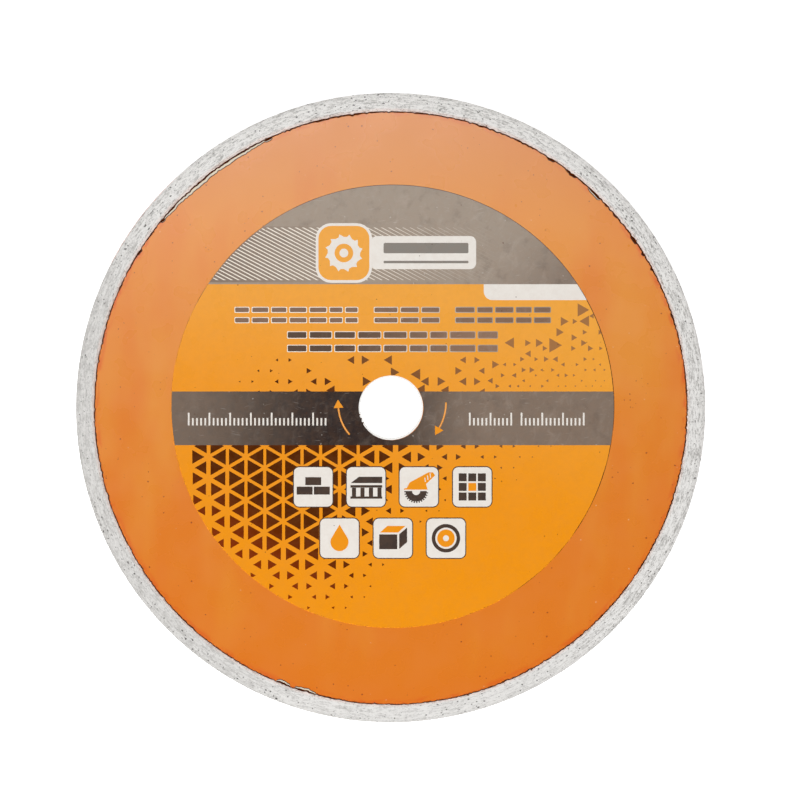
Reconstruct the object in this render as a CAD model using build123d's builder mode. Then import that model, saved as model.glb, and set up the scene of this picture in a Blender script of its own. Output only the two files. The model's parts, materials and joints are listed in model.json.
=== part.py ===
from build123d import *
import math
import os
import random

# Continuous-rim diamond blade. The blade lies flat with its printed face up: +Z out of that face,
# +Y to the top of the label, origin in the middle of the bore, half-way through the steel. Millimetres.

# Blade as it is ordered: diameter x rim height x rim thickness x bore
blade_diameter = 230.0
rim_height = 5.0
rim_thickness = 2.2
bore_diameter = 22.23

# Steel core and the serrated edge that keys the rim to it
core_thickness = 1.6
bore_chamfer = 0.15
tooth_count = 120
groove_depth = 0.8
groove_mouth_width = 2.6
groove_floor_width = 1.8
groove_overcut = 0.5

# Sintered rim: a layer without diamond straddles the core's edge, the working layer lies outside it
flange_overlap = 1.2
backing_height = 1.2
bevel_width = 1.6
bevel_drop = 0.12

# Diamond crystals that reach the rim's surface, by half the distance across their cube faces
crystal_half_widths = (0.15, 0.19, 0.23)
side_sectors = 48
side_row_pitch = 0.84
edge_sectors = 40
edge_row_pitch = 0.32
least_burial = 0.1
most_burial = 0.6
crystal_clearance = 0.06
empty_pocket_share = 0.12
grit_seed = 23

# Paint and label
enamel_thickness = 0.05
enamel_bore_margin = 0.14
enamel_rim_gap = 0.05
label_thickness = 0.10
label_diameter = 162.0
label_offset = (0.7, 0.5)
label_hole_margin = 0.24
label_hole_offset = (0.15, 0.0)

# Worked out from the sizes above
blade_radius = blade_diameter / 2
bore_radius = bore_diameter / 2
core_radius = blade_radius - rim_height
flange_radius = core_radius - flange_overlap
backing_radius = core_radius + backing_height
half_core = core_thickness / 2
half_rim = rim_thickness / 2
enamel_hole_radius = bore_radius + bore_chamfer + enamel_bore_margin
enamel_radius = flange_radius - enamel_rim_gap
label_hole_radius = enamel_hole_radius + label_hole_margin
widest_crystal = crystal_half_widths[-1] * math.sqrt(2)
side_inner = backing_radius + widest_crystal + crystal_clearance
side_outer = blade_radius - 2 * widest_crystal - crystal_half_widths[-1]
side_rows = max(1, int((side_outer - side_inner) / side_row_pitch))
edge_reach = half_rim - bevel_drop - 2 * widest_crystal
edge_rows = max(1, int(2 * edge_reach / edge_row_pitch))


# Steel core: a flat disc with grooves cut all round its edge
with BuildPart() as steel_core:
    with BuildSketch():
        Circle(core_radius)
        with PolarLocations(core_radius, tooth_count):
            Polygon(
                (-groove_depth, -groove_floor_width / 2),
                (groove_overcut, -groove_mouth_width / 2),
                (groove_overcut, groove_mouth_width / 2),
                (-groove_depth, groove_floor_width / 2),
                align=None,
                mode=Mode.SUBTRACT,
            )
        Circle(bore_radius, mode=Mode.SUBTRACT)
    extrude(amount=half_core, both=True)
    round_edges = steel_core.edges().filter_by(GeomType.CIRCLE)
    chamfer(round_edges.filter_by(lambda edge: edge.radius < core_radius / 2), bore_chamfer)


# Rim backing: bond metal pressed into the grooves and over both faces of the core's edge
with BuildPart() as rim_backing:
    with BuildSketch():
        Circle(backing_radius)
        Circle(flange_radius, mode=Mode.SUBTRACT)
    extrude(amount=half_rim, both=True)
    add(steel_core.part, mode=Mode.SUBTRACT)


# Working layer before its pockets are cut: its outer corners are dressed to a slight bevel
with BuildPart() as working_ring:
    with BuildSketch(Plane.XZ):
        with BuildLine():
            Polyline(
                (backing_radius, -half_rim),
                (blade_radius - bevel_width, -half_rim),
                (blade_radius, -half_rim + bevel_drop),
                (blade_radius, half_rim - bevel_drop),
                (blade_radius - bevel_width, half_rim),
                (backing_radius, half_rim),
                close=True,
            )
        make_face()
    revolve(axis=Axis.Z)


def cuboctahedron(half_width):
    """Corners of a cube cut back to the middles of its edges, the common form of a saw diamond."""
    h = half_width
    return [
        corner
        for a in (-h, h)
        for b in (-h, h)
        for corner in ((a, b, 0), (0, a, b), (b, 0, a))
    ]


def any_turn(draw):
    """Three random angles, so that no two crystals lie alike."""
    return tuple(draw.uniform(0, 360) for _ in range(3))


def rim_half_thickness_at(radius):
    """Half the thickness of the working layer at a radius, bevel included."""
    into_bevel = max(0.0, radius - (blade_radius - bevel_width))
    return half_rim - bevel_drop * into_bevel / bevel_width


def scattered_angle(draw, sector, row, sectors):
    """A random angle in a sector. Odd rows keep to its other half, so that neighbouring rows never meet."""
    return math.radians(360 * (sector + 0.5 * (row % 2) + draw.uniform(0.05, 0.4)) / sectors)


def side_seat(draw, sector, row, half_width, side):
    """A place in one cell of the polar grid on a side face, at a random depth under the surface."""
    radius = side_inner + (side_outer - side_inner) * (row + draw.uniform(0.2, 0.8)) / side_rows
    angle = scattered_angle(draw, sector, row, side_sectors)
    burial = half_width * draw.uniform(least_burial, most_burial)
    height = side * (rim_half_thickness_at(radius) - burial)
    return Location((radius * math.cos(angle), radius * math.sin(angle), height), any_turn(draw))


def edge_seat(draw, sector, row, half_width):
    """A place in one cell of the grid that runs round the cutting edge."""
    height = -edge_reach + 2 * edge_reach * (row + draw.uniform(0.2, 0.8)) / edge_rows
    angle = scattered_angle(draw, sector, row, edge_sectors)
    radius = blade_radius - half_width * draw.uniform(least_burial, most_burial)
    return Location((radius * math.cos(angle), radius * math.sin(angle), height), any_turn(draw))


# Seats, sorted by crystal size; a few pockets have lost their crystal
draw = random.Random(grit_seed)
seats = {half_width: [] for half_width in crystal_half_widths}
empty_seats = {half_width: [] for half_width in crystal_half_widths}


def keep_seat(half_width, seat):
    lost = draw.random() < empty_pocket_share
    (empty_seats if lost else seats)[half_width].append(seat)


for side in (1, -1):
    for row in range(side_rows):
        for sector in range(side_sectors):
            half_width = draw.choice(crystal_half_widths)
            keep_seat(half_width, side_seat(draw, sector, row, half_width, side))
for row in range(edge_rows):
    for sector in range(edge_sectors):
        half_width = draw.choice(crystal_half_widths)
        keep_seat(half_width, edge_seat(draw, sector, row, half_width))


with BuildPart() as whole_crystals:
    for half_width, places in seats.items():
        with Locations(*places):
            ConvexPolyhedron(cuboctahedron(half_width))

with BuildPart() as lost_crystals:
    for half_width, places in empty_seats.items():
        with Locations(*places):
            ConvexPolyhedron(cuboctahedron(half_width))


# Working layer with a pocket for every crystal, kept or lost
with BuildPart() as diamond_rim:
    add(working_ring.part)
    add(whole_crystals.part, mode=Mode.SUBTRACT)
    add(lost_crystals.part, mode=Mode.SUBTRACT)


# Crystals, worn flush with the rim's surface
with BuildPart() as diamond_grit:
    add(whole_crystals.part)
    add(working_ring.part, mode=Mode.INTERSECT)


# Paint films on both faces of the core
with BuildPart() as front_enamel:
    with BuildSketch(Plane.XY.offset(half_core)):
        Circle(enamel_radius)
        Circle(enamel_hole_radius, mode=Mode.SUBTRACT)
    extrude(amount=enamel_thickness)

with BuildPart() as back_enamel:
    with BuildSketch(Plane.XY.offset(-half_core)):
        Circle(enamel_radius)
        Circle(enamel_hole_radius, mode=Mode.SUBTRACT)
    extrude(amount=-enamel_thickness)


# Label, stuck on a little off centre
with BuildPart() as front_label:
    with BuildSketch(Plane.XY.offset(half_core + enamel_thickness)):
        with Locations(label_offset):
            Circle(label_diameter / 2)
        with Locations(label_hole_offset):
            Circle(label_hole_radius, mode=Mode.SUBTRACT)
    extrude(amount=label_thickness)


steel_core.part.label = "steel_core"
rim_backing.part.label = "rim_backing"
diamond_rim.part.label = "diamond_rim"
diamond_grit.part.label = "diamond_grit"
front_enamel.part.label = "front_enamel"
back_enamel.part.label = "back_enamel"
front_label.part.label = "front_label"

os.makedirs("parts", exist_ok=True)
export_step(steel_core.part, "parts/steel_core.step")
export_step(rim_backing.part, "parts/rim_backing.step")
export_step(diamond_rim.part, "parts/diamond_rim.step")
export_step(diamond_grit.part, "parts/diamond_grit.step")
export_step(front_enamel.part, "parts/front_enamel.step")
export_step(back_enamel.part, "parts/back_enamel.step")
export_step(front_label.part, "parts/front_label.step")
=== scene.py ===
"""The finish of a continuous-rim diamond blade, built around its packed construction.

Sizes in this file are in millimetres and turned into metres where a mesh, lamp or camera is made.
The printed face looks along +Z and the label's top is towards +Y.
"""

import json
import math
import random

import bmesh
import bpy
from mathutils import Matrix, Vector, noise
from mathutils.geometry import tessellate_polygon


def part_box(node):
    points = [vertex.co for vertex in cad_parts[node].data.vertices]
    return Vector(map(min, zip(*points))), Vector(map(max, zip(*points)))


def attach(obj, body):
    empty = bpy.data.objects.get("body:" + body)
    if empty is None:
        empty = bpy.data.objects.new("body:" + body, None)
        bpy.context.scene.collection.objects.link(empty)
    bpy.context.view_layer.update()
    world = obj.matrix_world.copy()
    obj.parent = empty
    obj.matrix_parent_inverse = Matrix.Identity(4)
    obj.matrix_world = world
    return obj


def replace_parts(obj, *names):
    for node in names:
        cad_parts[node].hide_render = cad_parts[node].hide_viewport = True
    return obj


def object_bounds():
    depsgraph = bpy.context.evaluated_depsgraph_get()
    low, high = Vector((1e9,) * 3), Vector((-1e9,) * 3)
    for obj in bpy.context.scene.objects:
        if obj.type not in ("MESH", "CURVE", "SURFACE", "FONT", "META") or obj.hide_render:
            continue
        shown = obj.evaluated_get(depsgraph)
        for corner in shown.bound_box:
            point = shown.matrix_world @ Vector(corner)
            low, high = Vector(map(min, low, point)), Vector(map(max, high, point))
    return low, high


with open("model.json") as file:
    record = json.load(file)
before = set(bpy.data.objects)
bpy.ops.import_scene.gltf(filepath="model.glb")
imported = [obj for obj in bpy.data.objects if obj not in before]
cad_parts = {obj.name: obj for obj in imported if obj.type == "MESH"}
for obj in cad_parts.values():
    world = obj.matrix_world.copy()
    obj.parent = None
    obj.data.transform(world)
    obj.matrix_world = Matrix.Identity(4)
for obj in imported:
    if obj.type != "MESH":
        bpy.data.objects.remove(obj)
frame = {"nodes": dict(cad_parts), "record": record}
cad_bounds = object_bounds()

MM = 0.001


# ---------- sizes read from the frame

def top_of(node):
    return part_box(node)[1].z / MM


def radius_of(node):
    low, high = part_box(node)
    return max(high.x - low.x, high.y - low.y) / 2 / MM


def centre_of(node):
    low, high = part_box(node)
    return (low.x + high.x) / 2 / MM, (low.y + high.y) / 2 / MM


mounts = {mount["name"]: mount for mount in frame["record"]["mounts"]}
bore_radius = mounts["bore"]["dims"]["r_mm"]
blade_radius = radius_of("diamond_rim")
enamel_radius = radius_of("front_enamel")
label_radius = radius_of("front_label")
label_centre = centre_of("front_label")
core_top = top_of("steel_core")
enamel_top = top_of("front_enamel")
label_top = top_of("front_label")
rim_top = top_of("rim_backing")


# ---------- sizes of the finish

# Holes in the paint and the label round the bore
ENAMEL_HOLE = bore_radius + 0.72
LABEL_HOLE = bore_radius + 0.72
LABEL_HOLE_CENTRE = (0.13, -0.08)
FRAYED_AT, FRAYED_SPAN, FRAYED_BY = 206.0, 16.0, 1.0

# Rim metal squeezed in over the core, and the dark gap between it and the paint: burnt, and partly
# painted shadow under the rim's lip
FLASH_MEAN = 0.29
FLASH_SWING = 0.12
FLASH_WIDEST_AT = 122.0
FLASH_RAGGED = 0.12
FLASH_BUMPS = 0.50
DARK_SEAM_WIDTH = 0.37
DARK_SEAM_SWING = 0.09
DARK_SEAM_WIDEST_AT = 75.0
DARK_SEAM_RAGGED = 0.24
SEAM_STEPS = 1800

# Where the steel is tinted by heat, and angles at which the rim looks special; round one of them the
# rim is darkened as painted shade
TINTED_FROM = enamel_radius - 3.0
PITTED_AT = 102.0
MISTED_AT = 143.0
PAINTED_SHADE_AT = 200.0
SMOOTH_AT = 228.0

# Places where the paint has come away at the rim: angle and half span in degrees, depth, and
# the share of the depth where clean steel shows beyond the dark part, which is scorch and
# painted shadow under the rim's lip
FRONT_CHIPS = [
    (127.5, 13.0, 1.00, 0.85), (114.6, 0.9, 0.75, 0.25), (140.6, 0.6, 0.65, 0.10),
    (98.0, 2.6, 0.10, 0.0), (104.0, 1.2, 0.14, 0.0), (57.0, 0.7, 0.25, 0.0),
    (52.2, 1.2, 0.36, 0.0), (46.4, 1.7, 0.62, 0.40), (43.2, 0.4, 0.18, 0.0),
    (40.6, 0.7, 0.20, 0.0), (34.6, 0.9, 0.42, 0.0), (31.3, 0.5, 0.34, 0.0),
    (28.0, 0.4, 0.22, 0.0), (18.0, 0.7, 0.15, 0.0), (148.2, 0.7, 0.28, 0.0),
    (248.7, 1.5, 0.85, 0.60), (253.2, 2.2, 0.85, 0.60),
]
BACK_CHIPS = [
    (64.0, 6.0, 0.80, 0.55), (171.0, 1.5, 0.60, 0.20),
    (289.0, 3.0, 0.70, 0.35), (310.0, 0.9, 0.45, 0.0),
]

# Print on the label
INK = 0.012
LABEL_MARGIN = 0.18
HATCH_MARGIN = 0.2
BORE_MARGIN = 0.12
BAND_TOP, BAND_BOTTOM = 5.9, -13.7
HEADER_BOTTOM = 45.1
HATCH_TOP, HATCH_BOTTOM, HATCH_RIGHT = 66.2, 45.8, 10.0
LINES_END = 38.0
TAB_LEFT, TAB_BOTTOM, TAB_CORNER = 34.0, 39.3, 3.2


# ---------- colours

def srgb(red, green, blue):
    """A colour as seen on a screen, 0 to 255, as the linear colour that shaders take."""
    def linear(value):
        value /= 255
        return value / 12.92 if value <= 0.04045 else ((value + 0.055) / 1.055) ** 2.4
    return linear(red), linear(green), linear(blue), 1.0


PAINT = srgb(230, 124, 14)
PAINT_LIGHT = srgb(234, 144, 36)
PAINT_THICK = srgb(226, 102, 5)
PAINT_SHADED = srgb(206, 118, 28)
PAINT_EDGE = srgb(56, 21, 4)
PAINT_DARK_SPECK = srgb(138, 48, 6)
PAINT_PALE_SPECK = srgb(246, 190, 140)
PRINT_ORANGE = srgb(247, 152, 2)
ORANGE_PAINTED_SHEEN = srgb(249, 171, 58)
PRINT_HEADER = srgb(164, 149, 134)
PRINT_HEADER_DARK = srgb(127, 110, 97)
PRINT_BAND = srgb(44, 32, 29)
PRINT_BAND_PALE = srgb(131, 114, 100)
PRINT_BROWN = srgb(84, 36, 1)
PRINT_BROWN_PALE = srgb(168, 117, 72)
PRINT_RUST = srgb(135, 46, 1)
PRINT_TITLE = srgb(146, 114, 92)
PRINT_TITLE_DARK = srgb(82, 62, 48)
PRINT_WHITE = srgb(242, 236, 228)
PRINT_CREAM = srgb(250, 240, 226)
PRINT_GREY = srgb(136, 130, 122)
PRINT_SIGN = srgb(66, 54, 48)
SCUFF = srgb(196, 182, 170)
BOND = srgb(238, 236, 233)
BOND_DARK = srgb(168, 165, 161)
BOND_SMOOTH = srgb(228, 226, 223)
BOND_SPRAYED = srgb(232, 124, 34)
BOND_PIT = srgb(62, 58, 55)
STEEL = srgb(206, 203, 197)
STEEL_BRIGHT = srgb(250, 249, 246)
STEEL_STRAW = srgb(228, 212, 186)
SOOT_AND_SHADOW = srgb(40, 15, 3)
SOOT_AND_SHADOW_BROWN = srgb(138, 58, 10)
CRYSTAL = srgb(56, 52, 46)


# ---------- shaders

class Nodes:
    """Adds nodes to a tree. An input takes a constant or another node's output."""

    def __init__(self, tree):
        self.tree = tree

    def feed(self, socket, value):
        if isinstance(value, bpy.types.NodeSocket):
            self.tree.links.new(value, socket)
        else:
            socket.default_value = value

    def outputs(self, kind, feeds, **settings):
        """Adds a node and returns all its outputs."""
        node = self.tree.nodes.new("ShaderNode" + kind)
        for key, value in settings.items():
            setattr(node, key, value)
        for socket, value in feeds.items():
            self.feed(node.inputs[socket], value)
        return node.outputs

    def add(self, kind, feeds, output=0, **settings):
        """Adds a node and returns one output."""
        return self.outputs(kind, feeds, **settings)[output]


class Shader(Nodes):
    """One material. Its methods add nodes and return an output."""

    def __init__(self, name, **constants):
        self.material = bpy.data.materials.new(name)
        self.material.use_nodes = True
        super().__init__(self.material.node_tree)
        self.surface = self.tree.nodes["Principled BSDF"]
        self.set(**constants)
        # Where a point lies on the blade, in millimetres
        self.place = self.scaled(self.add("TexCoord", {}, "Object"), 1 / MM)

    def set(self, **inputs):
        """Feeds the surface: base_color="..." goes to the socket Base Color, and so on."""
        for name, value in inputs.items():
            words = name.replace("_", " ").title().replace("Ior", "IOR")
            self.feed(self.surface.inputs[words], value)

    def math(self, operation, first, second):
        return self.add("Math", {0: first, 1: second}, operation=operation)

    def plus(self, first, second):
        return self.math("ADD", first, second)

    def times(self, first, second):
        return self.math("MULTIPLY", first, second)

    def join(self, x, y, z):
        return self.add("CombineXYZ", {0: x, 1: y, 2: z})

    def parts(self, vector):
        return self.outputs("SeparateXYZ", {0: vector})

    def dot(self, first, second):
        return self.add("VectorMath", {0: first, 1: second}, "Value", operation="DOT_PRODUCT")

    def scaled(self, vector, factor):
        return self.add("VectorMath", {0: vector, 3: factor}, operation="SCALE")

    def moved(self, place, offset):
        return self.add("VectorMath", {0: place, 1: offset}, operation="ADD")

    def flat(self):
        x, y, _ = self.parts(self.place)
        return self.join(x, y, 0.0)

    def radius(self):
        return self.add("VectorMath", {0: self.flat()}, "Value", operation="LENGTH")

    def ring_place(self, along, across):
        """Coordinates that run round the blade: they change slowly along it and fast across it."""
        x, y, z = self.parts(self.place)
        radius = self.radius()
        depth = self.times(self.plus(radius, z), across)
        way = self.join(self.math("DIVIDE", x, radius), self.math("DIVIDE", y, radius), 0.0)
        return self.moved(self.scaled(way, along), self.join(0.0, 0.0, depth))

    def unrolled(self, stretch):
        """Flat coordinates along and across the rim. What is drawn there is stretched along it."""
        x, y, _ = self.parts(self.place)
        turned = self.times(self.math("ARCTAN2", y, x), blade_radius / stretch)
        return self.join(turned, self.radius(), 0.0)

    def slanted(self, place, degrees, along, across):
        """Coordinates that change slowly along one direction on the face and fast across it."""
        angle = math.radians(degrees)
        way = (math.cos(angle) * along, math.sin(angle) * along, 0.0)
        side = (-math.sin(angle) * across, math.cos(angle) * across, 0.0)
        return self.join(self.dot(place, way), self.dot(place, side), 0.0)

    def shaken(self, place, scale, reach):
        """Places pushed about by noise, so that what is drawn there has uneven outlines."""
        push = self.add("TexNoise", {"Vector": place, "Scale": scale}, "Color")
        return self.moved(place, self.scaled(push, reach))

    def noise(self, place, scale, detail=2.0, roughness=0.5):
        feeds = {"Vector": place, "Scale": scale, "Detail": detail, "Roughness": roughness}
        return self.add("TexNoise", feeds)

    def ramp(self, value, low, high, start=0.0, stop=1.0):
        """A soft step from start to stop as value goes from low to high."""
        feeds = {0: value, 1: low, 2: high, 3: start, 4: stop}
        return self.add("MapRange", feeds, interpolation_type="SMOOTHSTEP", clamp=True)

    def mix(self, share, first, second):
        return self.add("Mix", {0: share, 6: first, 7: second}, 2, data_type="RGBA")

    def tint(self, colour, other, mask, most):
        """The colour, with some of another one as far as a mask says: where it is 1, the most."""
        return self.mix(self.times(mask, most), colour, other)

    def specks(self, place, cell, largest, share):
        """Scattered round specks: one cell in so many holds one, no larger than the given radius."""
        feeds = {"Vector": place, "Scale": 1 / cell}
        cells = self.outputs("TexVoronoi", feeds, voronoi_dimensions="2D")
        chance, size, _ = self.parts(cells["Color"])
        reach = self.ramp(size, 0.0, 1.0, 0.4 * largest / cell, largest / cell)
        inside = self.ramp(self.math("DIVIDE", cells["Distance"], reach), 0.75, 1.0, 1.0, 0.0)
        return self.times(inside, self.math("LESS_THAN", chance, share))

    def near_angle(self, degrees, span):
        """1 near one angle round the blade, and 0 further away than the span."""
        way = self.add("VectorMath", {0: self.flat()}, operation="NORMALIZE")
        angle = math.radians(degrees)
        match = self.dot(way, (math.cos(angle), math.sin(angle), 0.0))
        return self.ramp(match, math.cos(math.radians(span)), math.cos(math.radians(span * 0.7)))

    def edge(self):
        """The mark that ring() gives a piece, for its torn or dirty edges, and for the painted shadow
        along the label's edge.
        """
        return self.add("Attribute", {}, "Fac", attribute_name="edge")

    def bump(self, height, distance):
        feeds = {"Height": height, "Distance": distance * MM, "Strength": 1.0}
        self.feed(self.surface.inputs["Normal"], self.add("Bump", feeds))


def enamel_material(name):
    """Baked orange paint: clouded, lighter towards the top as painted light and duller at the very top
    as painted shade, thicker and redder at the rim, and darker over its last 13 mm as painted shade,
    with dust specks and orange peel.
    """
    s = Shader(name, specular_ior_level=0.5)
    place = s.place
    radius = s.radius()
    height = s.parts(place)[1]
    clouds_and_painted_light = s.noise(s.slanted(place, 86, 0.014, 0.045), 1.0, 3.0)
    # The height term makes the paint lighter towards the top: painted light over the random clouds.
    clouds_and_painted_light = s.plus(clouds_and_painted_light, s.times(height, 0.0022))
    colour = s.mix(s.ramp(clouds_and_painted_light, 0.30, 0.70), PAINT, PAINT_LIGHT)
    puddles = s.noise(s.ring_place(16.0, 0.5), 1.0, 3.0, 0.6)
    near_rim = s.ramp(radius, enamel_radius - 3.4, enamel_radius - 0.9)
    thick = s.times(near_rim, s.ramp(puddles, 0.40, 0.62))
    lip = s.ramp(radius, enamel_radius - 1.5, enamel_radius - 0.8, 0.0, 0.4)
    # Darker towards the rim over its last 13 mm: painted shade, on top of the thicker paint at the
    # lip.
    lip = s.plus(lip, s.ramp(radius, enamel_radius - 14.0, enamel_radius - 1.0, 0.0, 0.14))
    colour = s.mix(s.math("MAXIMUM", thick, lip), colour, PAINT_THICK)
    # The very top is dulled towards a darker orange: painted shade.
    colour = s.mix(s.ramp(height, 55.0, 105.0, 0.0, 0.5), colour, PAINT_SHADED)
    rough_place = s.shaken(place, 3.0, 0.5)
    dark = s.specks(rough_place, 5.2, 0.36, 0.10)
    fine = s.specks(s.moved(rough_place, (7.0, 3.0, 0.0)), 2.2, 0.29, 0.15)
    pale = s.specks(s.moved(rough_place, (31.0, 17.0, 0.0)), 5.9, 0.30, 0.08)
    crowd = s.ramp(s.noise(s.moved(place, (50.0, 9.0, 0.0)), 0.09, 3.0), 0.50, 0.62)
    colour = s.tint(colour, PAINT_PALE_SPECK, pale, 0.55)
    fine = s.times(s.times(fine, crowd), 0.8)
    colour = s.mix(s.math("MAXIMUM", s.times(dark, 0.75), fine), colour, PAINT_DARK_SPECK)
    torn = s.ramp(s.edge(), 0.25, 0.95)
    colour = s.mix(torn, colour, PAINT_EDGE)
    gloss = s.ramp(s.noise(place, 0.08, 3.0), 0.3, 0.7, 0.26, 0.32)
    s.set(base_color=colour, roughness=s.plus(gloss, s.times(torn, 0.5)))
    peel = s.noise(place, 0.4, 1.0)
    s.bump(s.plus(peel, s.times(s.plus(dark, pale), 0.4)), 0.006)
    return s.material


def bond_material(name, outside=True):
    """Sintered bond metal: pale, matt, mottled, pitted, and scratched round and round by dressing, and
    darker round one angle as painted shade.
    outside adds what the blade's outer edge has: wear, darkened on its bevel as painted shade, and a
    breath of stray paint."""
    s = Shader(name, metallic=0.05, specular_ior_level=0.25)
    place = s.place
    radius = s.radius()
    long_scratches = s.noise(s.ring_place(24.0, 1.5), 1.0, 5.0, 0.7)
    short_scratches = s.noise(s.ring_place(90.0, 3.2), 1.0, 4.0, 0.7)
    grains = s.noise(place, 2.2, 4.0, 0.7)
    patches = s.noise(s.ring_place(22.0, 0.35), 1.0, 3.0, 0.6)
    streaks = s.plus(s.times(long_scratches, 0.5), s.times(short_scratches, 0.5))
    tone = s.plus(s.times(streaks, 0.8), s.times(grains, 0.2))
    dull_and_shaded = s.times(s.ramp(patches, 0.40, 0.66), 0.035)
    # Darker round one angle: painted shade, added to the random dull patches.
    dull_and_shaded = s.plus(dull_and_shaded, s.times(s.near_angle(PAINTED_SHADE_AT, 60.0), 0.022))
    colour = s.mix(s.ramp(s.math("SUBTRACT", tone, dull_and_shaded), 0.38, 0.53, 1.0, 0.0), BOND, BOND_DARK)
    colour = s.tint(colour, BOND_SMOOTH, s.near_angle(SMOOTH_AT, 95.0), 0.4)
    # More painted shade round the same angle.
    colour = s.tint(colour, BOND_DARK, s.near_angle(PAINTED_SHADE_AT, 50.0), 0.14)
    if outside:
        # The outer edge is darker: wear, and painted shade on its bevel.
        wear_and_shade = s.ramp(radius, blade_radius - 2.2, blade_radius - 0.4)
        colour = s.tint(colour, BOND_DARK, wear_and_shade, 0.16)
    drawn_out = s.shaken(s.unrolled(1.7), 1.6, 0.8)
    crowd = s.ramp(s.noise(s.moved(place, (5.0, 70.0, 0.0)), 0.07, 2.0), 0.40, 0.62, 0.2, 1.0)
    crowd = s.math("MAXIMUM", crowd, s.near_angle(PITTED_AT, 16.0))
    pits = s.times(s.specks(drawn_out, 1.4, 0.30, 0.34), crowd)
    fine_pits = s.specks(s.moved(drawn_out, (11.0, 5.0, 0.0)), 0.9, 0.15, 0.35)
    dark = s.math("MAXIMUM", pits, s.times(fine_pits, 0.55))
    colour = s.tint(colour, BOND_PIT, dark, 0.9)
    sprayed = s.plus(radius, s.noise(place, 0.8, 3.0))
    sprayed = s.ramp(sprayed, enamel_radius + 0.3, enamel_radius + 1.5, 0.15, 0.0)
    colour = s.mix(sprayed, colour, BOND_SPRAYED)
    if outside:
        mist = s.plus(radius, s.noise(place, 0.9, 3.0))
        mist = s.ramp(mist, blade_radius + 0.05, blade_radius + 0.6)
        mist = s.times(mist, s.near_angle(MISTED_AT, 11.0))
        colour = s.tint(colour, PAINT_THICK, mist, 0.35)
    s.set(base_color=colour, roughness=s.ramp(grains, 0.3, 0.7, 0.46, 0.62))
    height = s.math("SUBTRACT", s.plus(streaks, s.times(grains, 0.5)), dark)
    s.bump(height, 0.02)
    return s.material


def steel_material(name):
    """Rolled steel: freshly turned round the bore, and tinted straw by heat beside the rim."""
    s = Shader(name)
    place = s.place
    radius = s.radius()
    s.set(metallic=s.ramp(radius, bore_radius + 2.0, TINTED_FROM, 0.3, 0.05))
    grain = s.noise(s.ring_place(40.0, 6.0), 1.0, 3.0)
    tinted = s.ramp(radius, TINTED_FROM, TINTED_FROM + 1.5)
    tinted = s.times(tinted, s.ramp(s.noise(place, 0.5, 3.0, 0.6), 0.35, 0.6, 0.35, 0.9))
    colour = s.mix(s.ramp(radius, bore_radius + 1.0, bore_radius + 2.0), STEEL_BRIGHT, STEEL)
    colour = s.mix(s.ramp(grain, 0.35, 0.65, 0.20, 0.0), colour, BOND_DARK)
    s.set(base_color=s.mix(tinted, colour, STEEL_STRAW), roughness=s.ramp(grain, 0.3, 0.7, 0.46, 0.58))
    s.bump(grain, 0.01)
    return s.material


def soot_and_shadow_material(name):
    """Flux and scorched paint left in the seam beside the rim, with painted shadow under the rim's
    lip.
    """
    s = Shader(name, roughness=0.9, specular_ior_level=0.03)
    crumbs = s.noise(s.place, 2.4, 3.0, 0.7)
    s.set(base_color=s.mix(s.ramp(crumbs, 0.42, 0.75), SOOT_AND_SHADOW, SOOT_AND_SHADOW_BROWN))
    s.bump(crumbs, 0.02)
    return s.material


def crystal_material(name):
    """Saw diamond: dark, greenish grey, with dull worn faces."""
    s = Shader(name, ior=1.9)
    facets = s.noise(s.place, 3.0, 2.0)
    colour = s.mix(s.ramp(facets, 0.4, 0.6), CRYSTAL, BOND_PIT)
    s.set(base_color=colour, roughness=s.ramp(facets, 0.3, 0.7, 0.35, 0.55))
    return s.material


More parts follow.
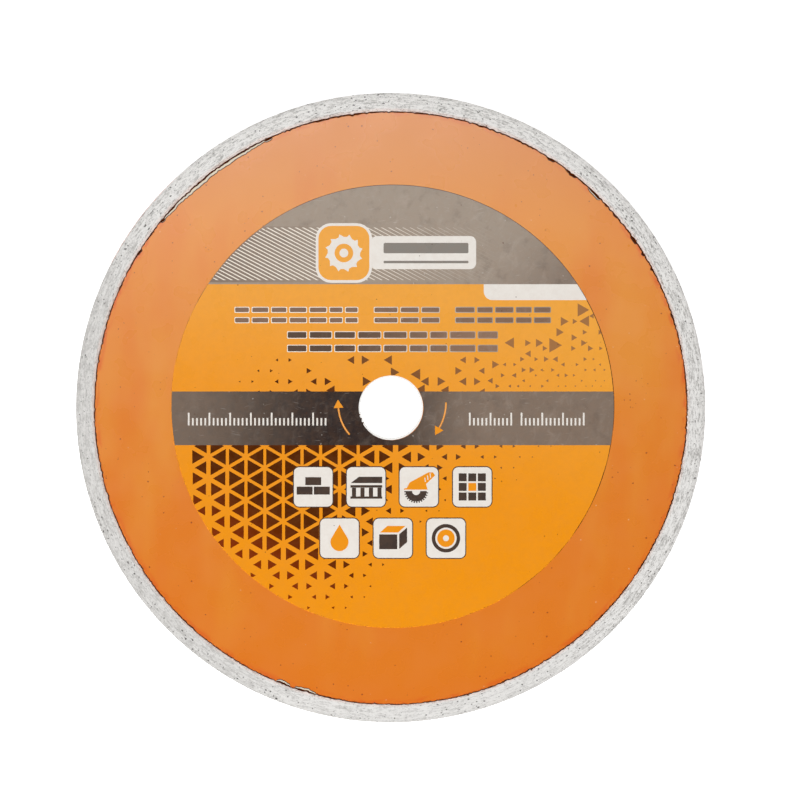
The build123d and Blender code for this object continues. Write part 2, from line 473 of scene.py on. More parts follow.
def print_material(name, colour, *tints, scuffs=0.0, shine=0.2):
    """Ink on a satin film. Each tint is another colour and its share; the tints that make orange paler
    towards the top are painted sheen. scuffs is how worn it is.
    """
    s = Shader(name, specular_ior_level=shine)
    place = s.place
    for tint, share in tints:
        colour = s.mix(share(s), colour, tint)
    mottle = s.ramp(s.noise(place, 0.5, 4.0, 0.6), 0.3, 0.7, 0.0, 0.07)
    colour = s.mix(mottle, colour, PRINT_BROWN_PALE)
    if scuffs:
        rubbed = s.noise(s.slanted(s.shaken(place, 0.12, 9.0), 75, 0.09, 0.20), 1.0, 5.0, 0.7)
        rubbed = s.ramp(rubbed, 0.48, 0.75, 0.0, 0.45)
        scratched = s.noise(s.slanted(s.shaken(place, 0.06, 12.0), 25, 0.16, 1.6), 1.0, 3.0, 0.6)
        scratched = s.ramp(scratched, 0.60, 0.76, 0.0, 0.25)
        wear_and_shade = s.times(s.plus(rubbed, scratched), s.ramp(s.parts(place)[0], -50.0, 30.0, 0.35, 1.0))
        colour = s.tint(colour, SCUFF, wear_and_shade, scuffs)
        flecks = s.specks(s.shaken(place, 1.2, 1.0), 4.2, 0.32, 0.14)
        colour = s.tint(colour, PRINT_WHITE, flecks, 0.5 * scuffs)
        shade = s.noise(s.moved(place, (9.0, 4.0, 0.0)), 0.22, 4.0, 0.6)
        colour = s.tint(colour, PRINT_BAND, s.ramp(shade, 0.5, 0.75, 0.0, 0.35), scuffs)
        lines = s.noise(s.slanted(s.shaken(place, 0.05, 8.0), 4, 0.22, 2.4), 1.0, 2.0)
        colour = s.tint(colour, PRINT_WHITE, s.ramp(lines, 0.66, 0.74, 0.0, 0.3), scuffs)
    dirt_and_shadow = s.specks(s.shaken(place, 2.0, 0.6), 5.1, 0.26, 0.12)
    colour = s.tint(colour, PRINT_BROWN, dirt_and_shadow, 0.6)
    # Edges marked by ring() go dark: torn or dirty edges, and on the label the painted shadow of its
    # edge.
    colour = s.mix(s.ramp(s.edge(), 0.3, 0.9), colour, PAINT_EDGE)
    s.set(base_color=colour, roughness=s.ramp(s.noise(place, 0.12, 3.0), 0.3, 0.7, 0.26, 0.32))
    s.bump(s.noise(place, 1.6, 2.0), 0.004)
    return s.material


def sloping(direction, low, high):
    """A share that rises from 0 to 1 between two places along a direction."""
    def share(s):
        return s.ramp(s.dot(s.place, direction + (0.0,)), low, high)
    return share


def away_from(x, near, far_left, far_right):
    """A share that rises to 1 on both sides of an upright line, faster or slower on the right."""
    def share(s):
        across = s.math("SUBTRACT", s.parts(s.place)[0], x)
        left = s.ramp(across, -far_left, -near, 0.75, 0.0)
        right = s.ramp(across, near, far_right, 0.0, 1.0)
        return s.math("MAXIMUM", left, right)
    return share


def even(share):
    return lambda s: share


# ---------- meshes

def polar(centre, radius, angle):
    """The point at an angle in radians round a centre."""
    return centre[0] + radius * math.cos(angle), centre[1] + radius * math.sin(angle)


def finished(name, vertices, faces, material, edge=None):
    """Makes a closed piece from corners in millimetres, with its faces turned outwards."""
    mesh = bpy.data.meshes.new(name)
    mesh.from_pydata([(x * MM, y * MM, z * MM) for x, y, z in vertices], [], faces)
    solid = bmesh.new()
    solid.from_mesh(mesh)
    bmesh.ops.recalc_face_normals(solid, faces=solid.faces)
    solid.to_mesh(mesh)
    solid.free()
    if edge:
        values = mesh.attributes.new("edge", "FLOAT", "POINT")
        values.data.foreach_set("value", edge)
    mesh.materials.append(material)
    piece = bpy.data.objects.new(name, mesh)
    bpy.context.collection.objects.link(piece)
    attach(piece, "root")
    return piece


def ring(name, profile, steps, material, centre=(0.0, 0.0)):
    """A closed ring. profile(angle) gives its section there, as (radius, height, edge) points."""
    vertices, edge = [], []
    for step in range(steps):
        angle = math.tau * step / steps
        section = profile(angle)
        for radius, height, mark in section:
            vertices.append(polar(centre, radius, angle) + (height,))
            edge.append(mark)
    count = len(section)
    faces = []
    for step in range(steps):
        here, there = step * count, (step + 1) % steps * count
        for point in range(count):
            after = (point + 1) % count
            faces.append((here + point, there + point, there + after, here + after))
    return finished(name, vertices, faces, material, edge)


def plates(name, shapes, material, layer=1):
    """Flat ink of one colour. Each shape is a list of outlines: its edge first, then its holes."""
    low = label_top - INK / 2
    high = label_top + INK * layer
    vertices, faces = [], []
    for outlines in shapes:
        points = [point for outline in outlines for point in outline]
        start, count = len(vertices), len(points)
        vertices += [(x, y, low) for x, y in points]
        vertices += [(x, y, high) for x, y in points]
        loops = [[Vector((x, y, 0.0)) for x, y in outline] for outline in outlines]
        for corners in tessellate_polygon(loops):
            faces.append(tuple(start + corner for corner in corners))
            faces.append(tuple(start + count + corner for corner in corners))
        first = start
        for outline in outlines:
            size = len(outline)
            for index in range(size):
                here, there = first + index, first + (index + 1) % size
                faces.append((here, there, there + count, here + count))
            first += size
    finished(name, vertices, faces, material)


# ---------- outlines

def arc(centre, radius, start, stop, steps):
    """Points on an arc between two angles in degrees, both ends included."""
    angles = [math.radians(start + (stop - start) * step / steps) for step in range(steps + 1)]
    return [polar(centre, radius, angle) for angle in angles]


def box(x, y, width, height, corner=0.0):
    """A rectangle round a centre, with rounded corners if a radius is given."""
    right, top = width / 2 - corner, height / 2 - corner
    if not corner:
        return [(x - right, y - top), (x + right, y - top), (x + right, y + top), (x - right, y + top)]
    turns = [(right, top, 0), (-right, top, 90), (-right, -top, 180), (right, -top, 270)]
    return [p for dx, dy, a in turns for p in arc((x + dx, y + dy), corner, a, a + 90, 6)]


def disc(x, y, radius, steps=40):
    return arc((x, y), radius, 0, 360 * (1 - 1 / steps), steps - 1)


def clip(points, normal, limit):
    """The part of a convex outline where a point's product with the normal is under the limit."""
    kept = []
    for index, (x, y) in enumerate(points):
        before = points[index - 1]
        side = limit - (x * normal[0] + y * normal[1])
        side_before = limit - (before[0] * normal[0] + before[1] * normal[1])
        if side * side_before < 0:
            share = side_before / (side_before - side)
            kept.append((before[0] + (x - before[0]) * share, before[1] + (y - before[1]) * share))
        if side >= 0:
            kept.append((x, y))
    return kept


def middle_of(points):
    return sum(x for x, _ in points) / len(points), sum(y for _, y in points) / len(points)


def on_label(points, margin=LABEL_MARGIN):
    """Cuts a small convex outline back to the round label, by tangents near it."""
    x, y = middle_of(points)
    middle = math.atan2(y - label_centre[1], x - label_centre[0])
    for offset in range(-12, 13):
        angle = middle + math.radians(offset)
        normal = (math.cos(angle), math.sin(angle))
        reach = label_radius - margin + normal[0] * label_centre[0] + normal[1] * label_centre[1]
        points = clip(points, normal, reach)
    return points


def off_bore(points):
    """Cuts an outline back from the label's hole by the tangent nearest to it."""
    x, y = middle_of(points)
    x -= LABEL_HOLE_CENTRE[0]
    y -= LABEL_HOLE_CENTRE[1]
    away = math.hypot(x, y)
    normal = (-x / away, -y / away)
    centre = normal[0] * LABEL_HOLE_CENTRE[0] + normal[1] * LABEL_HOLE_CENTRE[1]
    return clip(points, normal, centre - LABEL_HOLE - BORE_MARGIN)


def trimmed(shapes):
    """The shapes cut back to the label's two edges, without those that lie beyond them."""
    inside = [on_label(shape) for shape in shapes if shape]
    outside = [off_bore(shape) for shape in inside if shape]
    return [shape for shape in outside if len(shape) > 2]


def label_arc(start, stop, steps, margin=LABEL_MARGIN):
    """Points along the label's edge, leftwards over the top. Each end is given by its side of the
    label, left (-1) or right (1), and its height."""
    angles = []
    for side, y in (start, stop):
        up = y - label_centre[1]
        half = math.sqrt((label_radius - margin) ** 2 - up ** 2)
        angles.append(math.degrees(math.atan2(up, side * half)) % 360)
    if angles[0] > angles[1]:
        angles[0] -= 360
    return arc(label_centre, label_radius - margin, *angles, steps)


# ---------- rim, paint and steel

def wave(angle, turns, seed):
    """A smooth random wave round the blade, from -1 to 1, that meets itself."""
    return noise.noise(Vector((turns * math.cos(angle), turns * math.sin(angle), seed)))


def flash_edge(angle, seed):
    """Radius to which the rim's squeezed-in metal reaches."""
    swing = FLASH_SWING * math.cos(angle - math.radians(FLASH_WIDEST_AT))
    ragged = FLASH_RAGGED * wave(angle, 14, seed) + FLASH_BUMPS * max(0.0, wave(angle, 80, seed + 3))
    return enamel_radius - max(0.02, FLASH_MEAN + swing + ragged)


def chip(angle, chips, seed):
    """How far the paint has come away at an angle, and how much of that is dark: scorch, and painted
    shadow under the rim's lip.
    """
    depth, scorched_and_shaded = 0.0, 0.0
    for middle, half_span, deepest, bare in chips:
        away = (math.degrees(angle) - middle + 180) % 360 - 180
        if abs(away) < half_span:
            window = (1 - (away / half_span) ** 2) ** 0.5
            here = deepest * window * (1 + 0.25 * wave(angle, 45, seed))
            depth, scorched_and_shaded = max((depth, scorched_and_shaded), (here, here * (1 - bare)))
    return depth, scorched_and_shaded


def dark_seam_edge(angle, chips, seed):
    """Radius to which the dark seam beside the rim reaches."""
    ragged = wave(angle, 25, seed + 7) + 0.8 * wave(angle, 110, seed + 9)
    swing = DARK_SEAM_SWING * math.cos(angle - math.radians(DARK_SEAM_WIDEST_AT))
    width = max(0.10, DARK_SEAM_WIDTH + swing + DARK_SEAM_RAGGED * ragged)
    return flash_edge(angle, seed) - width - chip(angle, chips, seed)[1]


def make_enamel(name, node, side, chips, seed, material):
    """A paint film. Its last strip is marked where it is torn, so that it can be dark there."""
    low, high = side * core_top, side * enamel_top

    def section(angle):
        depth, scorched_and_shaded = chip(angle, chips, seed)
        edge = dark_seam_edge(angle, chips, seed) - (depth - scorched_and_shaded)
        torn = min(1.0, 0.45 + 2.0 * depth)
        hole = ENAMEL_HOLE + 0.04 * wave(angle, 6, seed + 5)
        return [
            (hole, low, 0.0),
            (hole, high, 0.0),
            (60.0, high, 0.0),
            (100.0, high, 0.0),
            (edge - 0.42, high, 0.0),
            (edge - 0.22, high, 0.9 * torn),
            (edge - 0.04, high - side * 0.01, torn),
            (edge, low, torn),
        ]

    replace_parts(ring(name, section, SEAM_STEPS, material), node)


def make_soot_and_shadow(name, side, chips, seed, material):
    """The dark seam along the rim's inner lip: scorch, and painted shadow under the lip."""
    low, high = side * core_top, side * (core_top + 0.02)

    def section(angle):
        inner = dark_seam_edge(angle, chips, seed)
        outer = flash_edge(angle, seed) + 0.06
        return [(inner, low, 0.0), (inner + 0.02, high, 0.0), (outer, high, 0.0), (outer, low, 0.0)]

    ring(name, section, SEAM_STEPS, material)


def make_flash(name, side, seed, material):
    """The ragged inner lip of the rim, pressed flat on the core."""
    low, high = side * (core_top + 0.002), side * (rim_top - 0.004)
    wall = enamel_radius + 0.07

    def section(angle):
        edge = flash_edge(angle, seed)
        crown = high - side * 0.03 * (1 + wave(angle, 70, seed + 1))
        return [
            (edge, low, 0.0),
            (edge + 0.02, (low + high) / 2, 0.0),
            (min(edge + 0.12, wall - 0.02), crown, 0.0),
            (wall, high, 0.0),
            (wall, low, 0.0),
        ]

    ring(name, section, SEAM_STEPS, material)


def label_hole(angle):
    """Radius of the label's hole. Its edge is frayed in one place."""
    away = (math.degrees(angle) - FRAYED_AT + 180) % 360 - 180
    frayed = FRAYED_BY * max(0.0, wave(angle, 22, 4.0)) if abs(away) < FRAYED_SPAN else 0.0
    return LABEL_HOLE + 0.05 * wave(angle, 9, 2.0) - frayed


def make_label_film(material):
    """The label itself: a true circle outside, and a hole with a slightly torn edge."""
    away_x = label_centre[0] - LABEL_HOLE_CENTRE[0]
    away_y = label_centre[1] - LABEL_HOLE_CENTRE[1]

    def section(angle):
        along = away_x * math.cos(angle) + away_y * math.sin(angle)
        across = away_x * math.sin(angle) - away_y * math.cos(angle)
        reach = along + math.sqrt(label_radius ** 2 - across ** 2)
        hole = label_hole(angle)
        inked = BAND_BOTTOM < LABEL_HOLE * math.sin(angle) < BAND_TOP
        # The label's outer edge is darkened, most towards the upper right: dirt, and a painted shadow
        # of the film's edge.
        dirt_and_shadow = 0.62 + 0.38 * math.cos(angle - math.radians(50)) + 0.3 * wave(angle, 12, 8.0)
        return [
            (hole, enamel_top, 0.8 if inked else 0.3),
            (hole, label_top, 0.8 if inked else 0.3),
            (hole + 0.12, label_top, 0.0),
            (40.0, label_top, 0.0),
            (reach - 0.34, label_top, 0.0),
            (reach - 0.20, label_top, dirt_and_shadow),
            (reach - 0.05, label_top - 0.02, dirt_and_shadow),
            (reach, enamel_top, dirt_and_shadow),
        ]

    film = ring("label_film", section, 720, material, LABEL_HOLE_CENTRE)
    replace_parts(film, "front_label")


# ---------- print: grounds

def band_outline():
    """The dark band across the middle, with the bore's bite out of its upper edge."""
    left = label_arc((-1, BAND_TOP), (-1, BAND_BOTTOM), 16)
    right = label_arc((1, BAND_BOTTOM), (1, BAND_TOP), 16)
    start = math.asin((BAND_TOP - LABEL_HOLE_CENTRE[1]) / LABEL_HOLE)
    hole = []
    for step in range(181):
        angle = start - (math.pi + 2 * start) * step / 180
        hole.append(polar(LABEL_HOLE_CENTRE, label_hole(angle) + 0.02, angle))
    return left + right + hole


def header_outline():
    """The grey segment at the label's top."""
    return label_arc((1, HEADER_BOTTOM), (-1, HEADER_BOTTOM), 90)


def tab_outline():
    """The bare white tab that hangs from the grey segment at its right end."""
    side = label_arc((1, TAB_BOTTOM), (1, HEADER_BOTTOM), 8)
    middle = (TAB_LEFT + TAB_CORNER, TAB_BOTTOM + TAB_CORNER)
    return [(TAB_LEFT, HEADER_BOTTOM)] + arc(middle, TAB_CORNER, 180, 270, 8) + side


def hatch_ground():
    """The darker ground under the slanting lines."""
    side = label_arc((-1, HATCH_TOP), (-1, HATCH_BOTTOM), 30, HATCH_MARGIN)
    return side + [(HATCH_RIGHT, HATCH_BOTTOM), (HATCH_RIGHT, HATCH_TOP)]


def hatch_lines():
    """Thin slanting lines behind the badge. They get thinner to the right, until they end."""
    top, bottom, pitch, slope = HATCH_TOP - 0.4, HATCH_BOTTOM + 0.8, 2.61, 0.523

    def half_width(x):
        return max(0.08, 0.42 - 0.0048 * max(0.0, x + 30)) / slope / 2

    lines = []
    for index in range(59):
        foot = -78.9 + index * pitch
        head = foot - (top - bottom) / slope
        wide, wider = half_width(foot), half_width(head)
        line = [(foot - wide, bottom), (foot + wide, bottom), (head + wider, top), (head - wider, top)]
        line = on_label(clip(line, (1.0, 0.0), LINES_END), 0.4)
        if len(line) > 2:
            lines.append([line])
    return lines


# ---------- print: triangles

TRIANGLE_SIDE = 7.87
COLUMN = 6.82
ROW = TRIANGLE_SIDE / 2
LATTICE_LEFT, LATTICE_TOP = -73.3, -18.0

# Single triangles: place, size, and which way they point
BORE_TRIANGLES = [
    (1.1, 12.9, 0.45, 1), (9.6, 12.2, 0.52, -1), (12.9, 9.6, 0.42, -1), (18.1, 9.6, 0.42, 1),
    (11.4, 6.7, 0.45, -1), (20.2, 6.3, 0.42, -1), (-9.2, 9.6, 0.44, 1), (-21.5, 6.3, 0.45, -1),
]
LARGE_TRIANGLES = [
    (69.7, 35.7, 0.62, 1), (71.3, 31.6, 0.52, -1), (59.5, 22.8, 0.68, 1), (43.9, 23.7, 0.50, -1),
]


def lone_triangle(x, y, size, way):
    """A triangle round a point. Its tip points right if way is 1, and left if it is -1."""
    half, depth = size * TRIANGLE_SIDE / 2, size * COLUMN
    foot = x - way * depth / 3
    return [(x + way * depth * 2 / 3, y), (foot, y + half), (foot, y - half)]


def triangle(column, row, size):
    """One triangle of the lattice, shrunk about its middle. Every second one points the other way."""
    points_right = (column + row) % 2 == 0
    base = LATTICE_LEFT + COLUMN * (column if points_right else column + 1)
    way = 1 if points_right else -1
    return lone_triangle(base + way * COLUMN / 3, LATTICE_TOP - ROW * row, size, way)[::way]


def lower_size(x, y):
    """Triangle size under the band: largest at the left, fading outwards and down."""
    below = -18 - y
    crowded_x = -35.0 + 0.35 * max(0.0, below - 32)
    spread = max(56.0 - 1.1 * below, 44.0 - 0.5 * below) * (1.25 if x < crowded_x else 1.0)
    tallest = min(0.76, 0.78 - 0.0222 * (below - 26.7))
    return tallest * min(1.0, 1.1 * math.exp(-(((x - crowded_x) / spread) ** 2)))


def upper_size(x, y):
    """Triangle size over the band: growing towards the bore from both sides."""
    left = 0.47 + 0.0085 * (x + 10)
    right = 0.47 - 0.0060 * (x - 12)
    return min(left, right, 0.5) - 0.008 * (y - 9.6)


def lattice_triangles():
    """The regular triangles over and under the dark band."""
    draw = random.Random(5)
    shapes = []
    for row in range(-9, 17):
        for column in range(0, 22):
            x, y = middle_of(triangle(column, row, 1.0))
            if y < BAND_BOTTOM + 1.5:
                size = lower_size(x, y) * draw.uniform(0.95, 1.04)
                limits = ((0.0, 1.0), BAND_BOTTOM)
            elif BAND_TOP - 1.5 < y < 19.0 and x < 34.0:
                missing = draw.random() < 0.35 * (y > 12) + 0.12
                too_near = math.hypot(x, y) < 25 and y < 14
                size = 0.0 if missing or too_near else upper_size(x, y)
                limits = ((0.0, -1.0), -BAND_TOP)
            else:
                continue
            if size > 0.07:
                shapes.append(clip(triangle(column, row, size), *limits))
    by_bore = [lone_triangle(*each) for each in BORE_TRIANGLES]
    return shapes + [clip(shape, (0.0, -1.0), -BAND_TOP) for shape in by_bore]


def loose_triangles(taken):
    """Triangles of mixed sizes at the upper right, none of them over another one."""
    draw = random.Random(17)
    shapes = [lone_triangle(*large) for large in LARGE_TRIANGLES]
    places = [middle_of(shape) for shape in taken + shapes if shape]
    for _ in range(1500):
        x, y = draw.uniform(34.0, 79.0), BAND_TOP + 1.97 * draw.randint(1, 14)
        size = (0.15 + 0.014 * (y - 8) + 0.005 * (56 - x)) * draw.uniform(0.5, 1.15)
        way = draw.choice((-1, 1))
        sparse = y > 19.0 and draw.random() < 0.93
        if sparse or y > 14.0 + 0.62 * (x - 34.0) or (x < 61 and y > 28.5):
            continue
        if min(math.hypot(x - a, y - b) for a, b in places) < 2.1 + 3.4 * size:
            continue
        places.append((x, y))
        shapes.append(lone_triangle(x, y, max(0.07, size), way))
    return shapes


# ---------- print: badge, bars, scale, arrows

# Rows of dashes: left, right, how many, middle height, and how tall
UPPER_TITLE = [(-56.8, -12.1, 7, 33.85, 6.3), (-5.9, 17.7, 3, 33.85, 6.3), (23.8, 58.3, 5, 33.85, 6.3)]
LOWER_TITLE = [(-37.6, 38.9, 9, 24.1, 8.2)]
TITLE_GAP = 1.3
TITLE_OUTLINE = 0.55
BADGE_CENTRE = (-17.1, 56.5)


def title_bars(rows, grow):
    """Plain stacked dashes where a title would stand. grow widens them for their outline."""
    draw = random.Random(3)
    bars = []
    for left, right, count, y, height in rows:
        widths = [draw.uniform(0.8, 1.2) for _ in range(count)]
        scale = (right - left + TITLE_GAP) / sum(widths)
        for width in widths:
            x, wide = left + width * scale / 2 - TITLE_GAP / 2, width * scale - TITLE_GAP
            for middle in (y + height * 0.30, y - height * 0.30):
                bars.append([box(x, middle, wide + grow, height * 0.26 + grow, 0.4)])
            left += width * scale
    return bars


def scale_ticks():
    """Plain ticks as on a ruler, in three runs along the band."""
    ticks = []
    pitch, low, tall, short = 1.515, -6.5, 4.65, 2.7
    for left, right in ((-74.1, -22.7), (28.6, 44.8), (47.5, 71.2)):
        for index in range(int((right - left) / pitch) + 1):
            height = tall if index % 5 == 0 else short
            ticks.append([box(left + 0.3 + index * pitch, low + height / 2, 0.62, height)])
    return ticks


# Turning arrows: centre, radius, and the angles where they start and stop
LEFT_ARROW = ((-3.0, 0.9), 16.1, 221.7, 183.5)
RIGHT_ARROW = ((1.54, 1.9), 18.66, 0.0, -30.0)


def curved_bar(centre, radius, start, stop, width):
    outside = arc(centre, radius + width / 2, start, stop, 16)
    return outside + arc(centre, radius - width / 2, stop, start, 16)


def arrow(centre, radius, start, stop):
    """An arc that runs clockwise, with its head at the end."""
    length, half = 3.0, 1.8
    x, y = polar(centre, radius, math.radians(stop))
    out_x, out_y = polar((0.0, 0.0), 1.0, math.radians(stop))
    tip = (x + out_y * length, y - out_x * length)
    head = [(x + out_x * half, y + out_y * half), tip, (x - out_x * half, y - out_y * half)]
    return [[curved_bar(centre, radius, start, stop, 0.6)], [head]]


def arrow_shine(centre, radius, start, stop):
    """A thin pale line along an arrow's shaft: a painted highlight."""
    return [[curved_bar(centre, radius, start - 1, stop + 1, 0.2)]]


def toothed_disc(x, y, outer, teeth):
    """The outline of a saw disc with slanted teeth."""
    edge = []
    for tooth in range(teeth):
        start = math.tau * tooth / teeth
        for share, reach in ((0.0, 0.84), (0.45, 1.0), (0.62, 0.86)):
            angle = start + math.tau / teeth * share
            edge.append(polar((x, y), outer * reach, angle))
    return edge


# ---------- print: pictograms

TILE_WIDTH, TILE_HEIGHT = 14.8, 15.1
TILE_EDGE = 0.35
TILE_PLACES = [
    (-28.3, -28.95), (-9.0, -28.95), (10.3, -28.95), (29.8, -28.95),
    (-18.7, -47.7), (0.8, -47.7), (20.2, -47.7),
]


def bricks(x, y):
    places = [(x, y + 2.1), (x - 3.15, y - 1.35), (x + 3.15, y - 1.35)]
    return [[box(*place, 5.8, 2.9)] for place in places]


def hollow_slab(x, y):
    roof = [(x - 5.6, y + 1.4), (x + 5.9, y + 1.4), (x + 5.9, y + 3.7), (x - 2.6, y + 3.7)]
    posts = [[box(x - 4.4 + 3.1 * index, y - 1.9, 1.5, 3.2)] for index in range(4)]
    return [[roof], [box(x + 0.1, y + 0.2, 11.6, 0.9)], [box(x + 0.1, y - 3.9, 11.6, 0.8)]] + posts


def grinder_body(x, y):
    below = [(x - 5.4, y - 1.0), (x + 3.2, y - 1.0), (x + 2.6, y + 1.0), (x + 5.9, y + 4.2)]
    above = [(x + 5.2, y + 5.3), (x + 3.4, y + 5.3), (x - 3.4, y + 1.6), (x - 4.4, y - 0.4)]
    return [[below + above + [(x - 5.4, y - 0.6)]]]


def grinder_disc(x, y):
    """The lower half of a toothed disc."""
    middle, outer, teeth = (x - 1.0, y - 1.5), 4.4, 14
    edge = []
    for tooth in range(teeth):
        start = 180 + 180 * tooth / teeth
        edge += arc(middle, outer, start, start + 90 / teeth, 2)
        edge += arc(middle, outer * 0.88, start + 90 / teeth, start + 180 / teeth, 2)
    return [[edge + arc(middle, 1.5, 360, 180, 16)]]


def grinder_vents(x, y):
    slits = []
    for step in range(3):
        left, low = x + 2.2 + 0.95 * step, y + 1.9 + 0.75 * step
        top = [(left + 0.15, low + 1.5), (left - 0.2, low + 1.5)]
        slits.append([[(left, low), (left + 0.35, low - 0.1)] + top])
    return slits


def tiled_floor(x, y):
    places = [(column, row) for column in (-1, 0, 1) for row in (-1, 0, 1) if column or row]
    return [[box(x + 3.5 * column, y + 3.5 * row, 2.9, 2.9)] for column, row in places]


def orange_square(x, y):
    return [[box(x, y, 2.9, 2.9)]]


def droplet(x, y):
    tip = (x, y + 5.0)
    return [[[tip] + arc((x, y - 1.4), 3.3, 155, 385, 30)]]


def stone_block(x, y):
    front = [(x - 5.0, y - 4.0), (x + 1.6, y - 4.0), (x + 1.6, y + 1.4), (x - 5.0, y + 1.4)]
    flank = [(x + 2.3, y - 3.9), (x + 5.2, y - 1.4), (x + 5.2, y + 3.9), (x + 2.3, y + 1.5)]
    return [[front], [flank]]


def stone_top(x, y):
    return [[[(x - 4.7, y + 2.1), (x + 1.9, y + 2.1), (x + 4.6, y + 4.5), (x - 2.0, y + 4.5)]]]


def plain_blade(x, y):
    return [[disc(x, y, 5.2), disc(x, y, 3.9)]]


def blade_hub(x, y):
    return [[disc(x, y, 3.2), disc(x, y, 1.1, 20)]]


# What each tile shows in each colour
DARK_SIGNS = [bricks, hollow_slab, grinder_disc, tiled_floor, None, stone_block, plain_blade]
ORANGE_SIGNS = [None, None, grinder_body, orange_square, droplet, stone_top, blade_hub]
WHITE_SIGNS = [None, None, grinder_vents]


def signs(makers):
    return [shape for make, place in zip(makers, TILE_PLACES) if make for shape in make(*place)]


# ---------- the whole label

def make_label():
    up, right = (0.0, 1.0), (1.0, 0.0)
    # The film is paler towards the top: painted sheen.
    sheen_above = (ORANGE_PAINTED_SHEEN, sloping((0.25, 0.97), -30.0, 60.0))
    film = print_material("film_orange", PRINT_ORANGE, sheen_above)
    shining = (PRINT_BAND_PALE, away_from(-14.0, 8.0, 66.0, 48.0))
    band = print_material("ink_band", PRINT_BAND, shining, scuffs=0.45)
    darker = (PRINT_HEADER_DARK, sloping((0.8, -0.6), -10.0, 40.0))
    header = print_material("ink_header", PRINT_HEADER, darker, scuffs=0.6)
    paler = (PRINT_HEADER, sloping(right, -80.0, -10.0))
    shaded = print_material("ink_hatch_ground", PRINT_HEADER_DARK, paler, scuffs=0.3)
    fading = (PRINT_BROWN_PALE, sloping((0.6, 0.8), -20.0, 50.0))
    rust = (PRINT_RUST, sloping((-0.5, -0.87), 49.0, 79.0))
    brown = print_material("ink_brown", PRINT_BROWN, fading, rust, shine=0.03)
    fading = (PRINT_TITLE, sloping(right, -30.0, 40.0))
    title = print_material("ink_title", PRINT_TITLE_DARK, fading, scuffs=0.3)
    worn_title = print_material("ink_worn_title", PRINT_TITLE, (PRINT_SIGN, even(0.25)), scuffs=0.3)
    fading = (PRINT_HEADER, sloping(right, -20.0, 45.0))
    cream = print_material("ink_cream", PRINT_CREAM, fading)
    # The orange ink is paler towards the top: painted sheen.
    paler = (ORANGE_PAINTED_SHEEN, sloping(up, -20.0, 60.0))
    bright = print_material("ink_orange", PRINT_ORANGE, paler)
    # Pale orange for the arrows' painted highlights.
    pale = print_material("painted_highlight_orange", PAINT_PALE_SPECK, (ORANGE_PAINTED_SHEEN, even(0.3)))
    white = print_material("ink_white", PRINT_WHITE)
    grey = print_material("ink_grey", PRINT_GREY)
    sign = print_material("ink_sign", PRINT_SIGN)

    make_label_film(film)
    plates("band_ground", [[band_outline()]], band)
    plates("header_ground", [[header_outline()]], header)
    plates("hatch_ground", [[hatch_ground()]], shaded, 1.5)
    plates("white_tab", [[tab_outline()]], white)
    plates("hatching", hatch_lines(), cream, 2.5)

    regular = lattice_triangles()
    shapes = trimmed(regular + loose_triangles(regular))
    plates("triangles", [[shape] for shape in shapes], brown)

    x, y = BADGE_CENTRE
    plates("badge_plate", [[box(12.0, 56.65, 38.4, 12.1, 2.2)]], white, 3.5)
    plates("badge_edge", [[box(x, y, 20.6, 21.8, 5.6)]], white, 4.5)
    plates("badge_face", [[box(x, y, 18.6, 19.8, 4.6), toothed_disc(x, y, 7.0, 12)]], bright, 5.5)
    plates("badge_hub", [[disc(x, y, 3.4), disc(x, y, 1.6)]], bright, 5.5)
    bars = [[box(12.9, 58.3, 31.0, 3.8, 0.5)], [box(12.9, 53.2, 31.0, 0.9, 0.3)]]
    plates("badge_bars", bars, grey, 4.5)

    for name, rows, ink in (("upper", UPPER_TITLE, worn_title), ("lower", LOWER_TITLE, title)):
        plates(name + "_outline", title_bars(rows, TITLE_OUTLINE), cream)
        plates(name + "_bars", title_bars(rows, 0.0), ink, 2)
    plates("scale_ticks", scale_ticks(), white, 2)
    plates("turning_arrows", arrow(*LEFT_ARROW) + arrow(*RIGHT_ARROW), bright, 2)
    plates("arrow_shine", arrow_shine(*LEFT_ARROW) + arrow_shine(*RIGHT_ARROW), pale, 3)

    edges = [[box(*place, TILE_WIDTH, TILE_HEIGHT, 2.3)] for place in TILE_PLACES]
    width, height = TILE_WIDTH - 2 * TILE_EDGE, TILE_HEIGHT - 2 * TILE_EDGE
    faces = [[box(*place, width, height, 2.3 - TILE_EDGE)] for place in TILE_PLACES]
    plates("tile_edges", edges, sign, 2)
    plates("tile_faces", faces, white, 3)
    plates("dark_signs", signs(DARK_SIGNS), sign, 4)
    plates("orange_signs", signs(ORANGE_SIGNS), bright, 4)
    plates("white_signs", signs(WHITE_SIGNS), white, 5)


def make_metal_and_paint():
    bond = bond_material("bond_metal")
    for node, material in (
        ("rim_backing", bond),
        ("diamond_rim", bond),
        ("diamond_grit", crystal_material("diamond")),
        ("steel_core", steel_material("core_steel")),
    ):
        mesh = frame["nodes"][node].data
        mesh.materials.clear()
        mesh.materials.append(material)
    lip = bond_material("bond_lip", outside=False)
    soot_and_shadow = soot_and_shadow_material("soot_and_shadow")
    make_soot_and_shadow("front_soot_and_shadow", 1, FRONT_CHIPS, 1.0, soot_and_shadow)
    make_soot_and_shadow("back_soot_and_shadow", -1, BACK_CHIPS, 21.0, soot_and_shadow)
    make_flash("front_flash", 1, 1.0, lip)
    make_flash("back_flash", -1, 21.0, lip)
    make_enamel("front_paint", "front_enamel", 1, FRONT_CHIPS, 1.0, enamel_material("front_paint"))
    make_enamel("back_paint", "back_enamel", -1, BACK_CHIPS, 21.0, enamel_material("back_paint"))


# ---------- studio

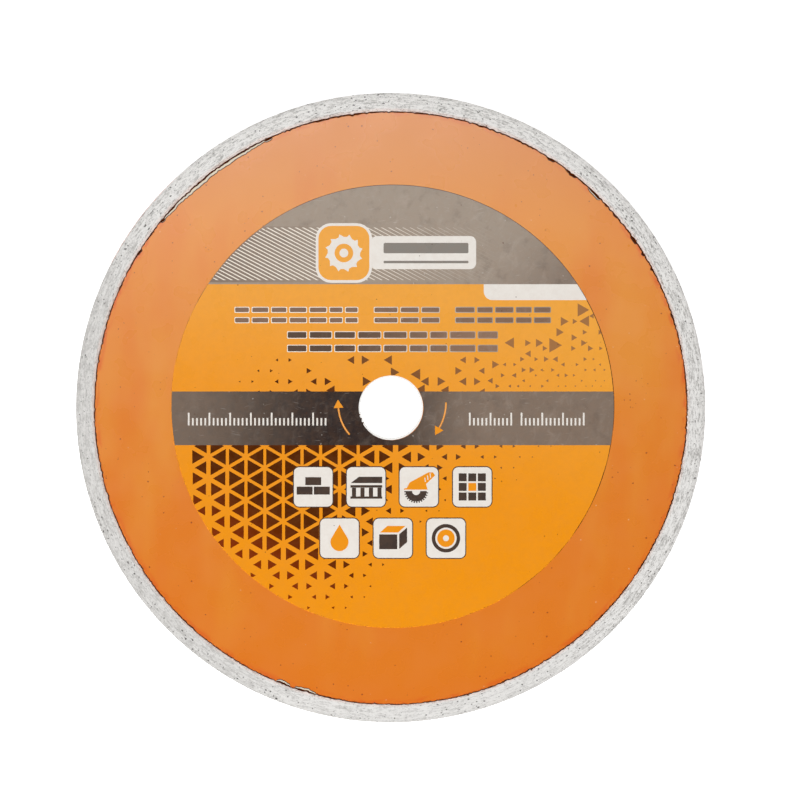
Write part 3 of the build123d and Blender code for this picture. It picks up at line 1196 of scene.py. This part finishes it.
CAMERA_CENTRE = (3.4, 2.8)
VIEW_WIDTH = 292.6
LENS = 100.0
SENSOR = 36.0
WHITE = (1.0, 1.0, 1.0, 1.0)
AMBIENT = 0.42
CEILING = 0.10
FLOOR_GREY = (0.8, 0.8, 0.8, 1.0)
FLOOR_GLOW = 0.88
FLOOR_GAP = 0.02
FLOOR_HALF = 2000.0


def any_ray(nodes, *kinds):
    """1 for rays of the named kinds, else 0."""
    path = nodes.outputs("LightPath", {})
    total = path[kinds[0]]
    for kind in kinds[1:]:
        total = nodes.add("Math", {0: total, 1: path[kind]}, operation="MAXIMUM")
    return total


def make_floor():
    """A pale floor just under the rim. It looks white, and keeps the blade's soft shadow. It is seen
    from above only, and lets light through from below, so that the back can be looked at too."""
    low = cad_bounds[0].z - FLOOR_GAP * MM
    half = FLOOR_HALF * MM
    corners = [(-half, -half, low), (half, -half, low), (half, half, low), (-half, half, low)]
    mesh = bpy.data.meshes.new("floor")
    mesh.from_pydata(corners, [], [(0, 1, 2, 3)])
    material = bpy.data.materials.new("floor")
    material.use_nodes = True
    material.node_tree.nodes.clear()
    nodes = Nodes(material.node_tree)
    matt = nodes.add("BsdfDiffuse", {"Color": FLOOR_GREY})
    lifted = nodes.add("AddShader", {0: matt, 1: nodes.add("Emission", {"Strength": FLOOR_GLOW})})
    seen = any_ray(nodes, "Is Camera Ray", "Is Glossy Ray", "Is Transmission Ray")
    above = nodes.add("MixShader", {0: seen, 1: matt, 2: lifted})
    behind = nodes.add("NewGeometry", {}, "Backfacing")
    both = nodes.add("MixShader", {0: behind, 1: above, 2: nodes.add("BsdfTransparent", {})})
    nodes.outputs("OutputMaterial", {"Surface": both})
    mesh.materials.append(material)
    floor = bpy.data.objects.new("floor", mesh)
    floor.visible_diffuse = False
    floor.visible_shadow = False
    bpy.context.collection.objects.link(floor)


def make_world():
    """Even studio light. It looks white, and to glossy surfaces it has a dim ceiling."""
    world = bpy.data.worlds.new("studio")
    bpy.context.scene.world = world
    world.use_nodes = True
    world.node_tree.nodes.clear()
    nodes = Nodes(world.node_tree)
    light = nodes.add("Background", {"Color": WHITE, "Strength": AMBIENT})
    white = nodes.add("Background", {"Color": WHITE})
    way = nodes.outputs("SeparateXYZ", {0: nodes.add("TexCoord", {}, "Generated")})
    feeds = {"Value": way["Z"], "From Min": 0.2, "From Max": 0.8, "To Min": 1.0, "To Max": CEILING}
    dimmed = nodes.add("MapRange", feeds, interpolation_type="SMOOTHSTEP")
    room = nodes.add("Background", {"Color": dimmed})
    mirrored = nodes.add("MixShader", {0: any_ray(nodes, "Is Glossy Ray"), 1: light, 2: room})
    seen = any_ray(nodes, "Is Camera Ray", "Is Transmission Ray")
    both = nodes.add("MixShader", {0: seen, 1: mirrored, 2: white})
    nodes.outputs("OutputWorld", {"Surface": both})


def make_lamp(name, place, width, height, power):
    """A soft rectangular lamp that looks at the blade."""
    data = bpy.data.lights.new(name, "AREA")
    data.shape = "RECTANGLE"
    data.size = width
    data.size_y = height
    data.energy = power
    lamp = bpy.data.objects.new(name, data)
    lamp.location = place
    lamp.rotation_euler = (-Vector(place)).to_track_quat("-Z", "Y").to_euler()
    lamp.visible_camera = False
    bpy.context.collection.objects.link(lamp)
    return lamp


def make_camera():
    """Straight down on the printed face, with the label's top up."""
    data = bpy.data.cameras.new("camera")
    data.lens = LENS
    data.sensor_width = SENSOR
    camera = bpy.data.objects.new("camera", data)
    distance = VIEW_WIDTH * LENS / SENSOR
    camera.location = (CAMERA_CENTRE[0] * MM, CAMERA_CENTRE[1] * MM, distance * MM)
    bpy.context.collection.objects.link(camera)
    bpy.context.scene.camera = camera


make_camera()
make_metal_and_paint()
make_label()
make_floor()
make_world()
key = make_lamp("key", (-0.25, -0.95, 1.20), 1.00, 0.80, 17.8)
key.visible_glossy = False
veil = make_lamp("veil", (-0.08, 0.47, 1.35), 1.00, 0.40, 13.0)
veil.visible_diffuse = False
bpy.context.scene.view_settings.view_transform = "Standard"
